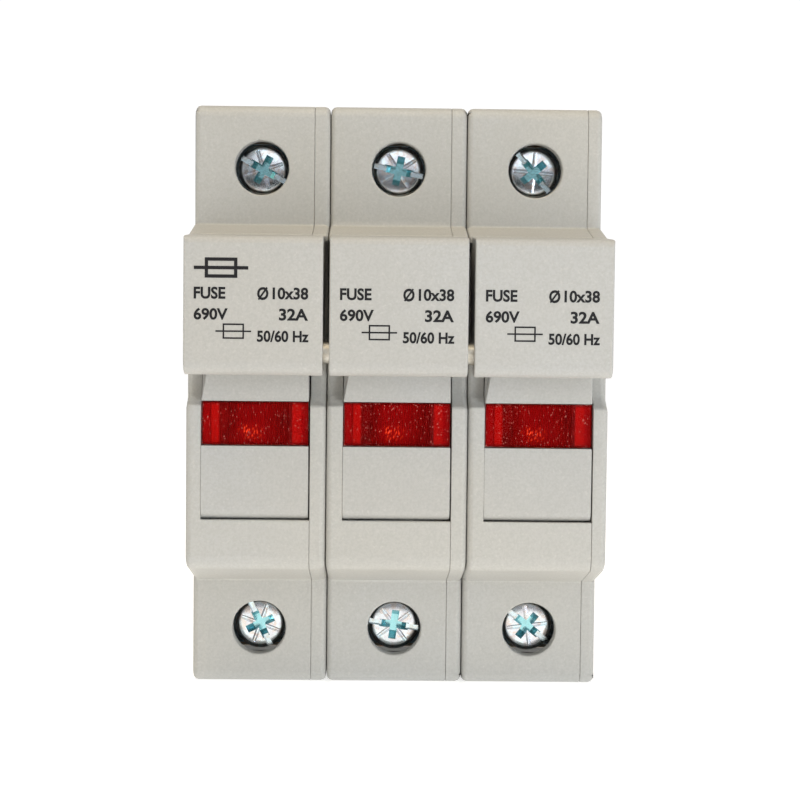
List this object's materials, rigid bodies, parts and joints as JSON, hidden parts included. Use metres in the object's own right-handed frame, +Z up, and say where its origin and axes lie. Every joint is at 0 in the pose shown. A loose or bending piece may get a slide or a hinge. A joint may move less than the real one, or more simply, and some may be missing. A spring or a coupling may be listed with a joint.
{
  "type": "cartridge fuse holder",
  "caption": "Rail-mounted modular holder for 10x38 cartridge fuses: side-by-side poles with a tied tilting carrier, red indicator windows and screw clamp terminals.",
  "frame": {"origin": "middle of the face that seats on the 35 mm rail, half way across the poles and at the rail's centre line", "axes": "+X across the poles to the right seen from the front, +Y back towards the rail and panel, +Z up; the handles face -Y"},
  "size_m": [0.0536, 0.0652, 0.0764],
  "materials": {
    "housing": "fine spark-eroded grain, light warm grey",
    "carrier": null,
    "window": "polished transparent red",
    "lamp_glass": "clear glass",
    "resistor": "lacquered, colour bands",
    "ceramic": "unglazed white ceramic",
    "fuse_cap": "nickel plate",
    "contact": "tinned copper strip",
    "spring_steel": "blued spring steel",
    "zinc_plate": "bright blue-passivated zinc plate",
    "rivet": "zinc plated, set heads",
    "latch": "moulded grey plastic"
  },
  "bodies": {
    "housing": {"housing_tray_1": "housing", "housing_cover_1": "housing", "upper_contact_1": "contact", "lower_contact_1": "contact", "upper_jaw_spring_1": "spring_steel", "lower_jaw_spring_1": "spring_steel", "housing_tray_2": "housing", "housing_cover_2": "housing", "upper_contact_2": "contact", "lower_contact_2": "contact", "upper_jaw_spring_2": "spring_steel", "lower_jaw_spring_2": "spring_steel", "housing_tray_3": "housing", "housing_cover_3": "housing", "upper_contact_3": "contact", "lower_contact_3": "contact", "upper_jaw_spring_3": "spring_steel", "lower_jaw_spring_3": "spring_steel", "rivet_upper_front": "rivet", "rivet_lower_front": "rivet", "rivet_upper_rear": "rivet", "rivet_lower_rear": "rivet"},
    "carriers": {"fuse_carrier_1": "carrier", "indicator_window_1": "window", "indicator_lamp_1": "lamp_glass", "indicator_resistor_1": "resistor", "fuse_tube_1": "ceramic", "fuse_cap_upper_1": "fuse_cap", "fuse_cap_lower_1": "fuse_cap", "fuse_carrier_2": "carrier", "indicator_window_2": "window", "indicator_lamp_2": "lamp_glass", "indicator_resistor_2": "resistor", "fuse_tube_2": "ceramic", "fuse_cap_upper_2": "fuse_cap", "fuse_cap_lower_2": "fuse_cap", "fuse_carrier_3": "carrier", "indicator_window_3": "window", "indicator_lamp_3": "lamp_glass", "indicator_resistor_3": "resistor", "fuse_tube_3": "ceramic", "fuse_cap_upper_3": "fuse_cap", "fuse_cap_lower_3": "fuse_cap", "tie_bar": "fuse_cap"},
    "upper_screw_body_1": {"upper_screw_1": "zinc_plate"},
    "upper_clamp_body_1": {"upper_clamp_1": "zinc_plate"},
    "lower_screw_body_1": {"lower_screw_1": "zinc_plate"},
    "lower_clamp_body_1": {"lower_clamp_1": "zinc_plate"},
    "latch_body_1": {"rail_latch_1": "latch"},
    "upper_screw_body_2": {"upper_screw_2": "zinc_plate"},
    "upper_clamp_body_2": {"upper_clamp_2": "zinc_plate"},
    "lower_screw_body_2": {"lower_screw_2": "zinc_plate"},
    "lower_clamp_body_2": {"lower_clamp_2": "zinc_plate"},
    "latch_body_2": {"rail_latch_2": "latch"},
    "upper_screw_body_3": {"upper_screw_3": "zinc_plate"},
    "upper_clamp_body_3": {"upper_clamp_3": "zinc_plate"},
    "lower_screw_body_3": {"lower_screw_3": "zinc_plate"},
    "lower_clamp_body_3": {"lower_clamp_3": "zinc_plate"},
    "latch_body_3": {"rail_latch_3": "latch"}
  },
  "joints": [
    {"name": "carrier_hinge", "type": "hinge", "parent": "housing", "child": "carriers", "pos_m": [0, -0.0515, -0.011], "axis": [1, 0, 0], "range_deg": [0, 90]},
    {"name": "upper_screw_turn_1", "type": "hinge", "parent": "housing", "child": "upper_screw_body_1", "pos_m": [-0.018, -0.036, 0.0298], "axis": [0, 1, 0], "range_deg": [0, 2252]},
    {"name": "upper_clamp_rise_1", "type": "slide", "parent": "housing", "child": "upper_clamp_body_1", "axis": [0, -1, 0], "range_m": [0, 0.005]},
    {"name": "lower_screw_turn_1", "type": "hinge", "parent": "housing", "child": "lower_screw_body_1", "pos_m": [-0.018, -0.036, -0.0311], "axis": [0, 1, 0], "range_deg": [0, 2252]},
    {"name": "lower_clamp_rise_1", "type": "slide", "parent": "housing", "child": "lower_clamp_body_1", "axis": [0, -1, 0], "range_m": [0, 0.005]},
    {"name": "latch_slide_1", "type": "slide", "parent": "housing", "child": "latch_body_1", "axis": [0, 0, -1], "range_m": [0, 0.004], "stiffness_N_per_m": 500, "springref_m": -0.002},
    {"name": "upper_screw_turn_2", "type": "hinge", "parent": "housing", "child": "upper_screw_body_2", "pos_m": [0, -0.036, 0.0298], "axis": [0, 1, 0], "range_deg": [0, 2252]},
    {"name": "upper_clamp_rise_2", "type": "slide", "parent": "housing", "child": "upper_clamp_body_2", "axis": [0, -1, 0], "range_m": [0, 0.005]},
    {"name": "lower_screw_turn_2", "type": "hinge", "parent": "housing", "child": "lower_screw_body_2", "pos_m": [0, -0.036, -0.0311], "axis": [0, 1, 0], "range_deg": [0, 2252]},
    {"name": "lower_clamp_rise_2", "type": "slide", "parent": "housing", "child": "lower_clamp_body_2", "axis": [0, -1, 0], "range_m": [0, 0.005]},
    {"name": "latch_slide_2", "type": "slide", "parent": "housing", "child": "latch_body_2", "axis": [0, 0, -1], "range_m": [0, 0.004], "stiffness_N_per_m": 500, "springref_m": -0.002},
    {"name": "upper_screw_turn_3", "type": "hinge", "parent": "housing", "child": "upper_screw_body_3", "pos_m": [0.018, -0.036, 0.0298], "axis": [0, 1, 0], "range_deg": [0, 2252]},
    {"name": "upper_clamp_rise_3", "type": "slide", "parent": "housing", "child": "upper_clamp_body_3", "axis": [0, -1, 0], "range_m": [0, 0.005]},
    {"name": "lower_screw_turn_3", "type": "hinge", "parent": "housing", "child": "lower_screw_body_3", "pos_m": [0.018, -0.036, -0.0311], "axis": [0, 1, 0], "range_deg": [0, 2252]},
    {"name": "lower_clamp_rise_3", "type": "slide", "parent": "housing", "child": "lower_clamp_body_3", "axis": [0, -1, 0], "range_m": [0, 0.005]},
    {"name": "latch_slide_3", "type": "slide", "parent": "housing", "child": "latch_body_3", "axis": [0, 0, -1], "range_m": [0, 0.004], "stiffness_N_per_m": 500, "springref_m": -0.002}
  ],
  "couplings": [
    {"joint": "upper_screw_turn_1", "follows": "upper_clamp_rise_1", "rad_per_m": 7854},
    {"joint": "lower_screw_turn_1", "follows": "lower_clamp_rise_1", "rad_per_m": 7854},
    {"joint": "upper_screw_turn_2", "follows": "upper_clamp_rise_2", "rad_per_m": 7854},
    {"joint": "lower_screw_turn_2", "follows": "lower_clamp_rise_2", "rad_per_m": 7854},
    {"joint": "upper_screw_turn_3", "follows": "upper_clamp_rise_3", "rad_per_m": 7854},
    {"joint": "lower_screw_turn_3", "follows": "lower_clamp_rise_3", "rad_per_m": 7854}
  ]
}
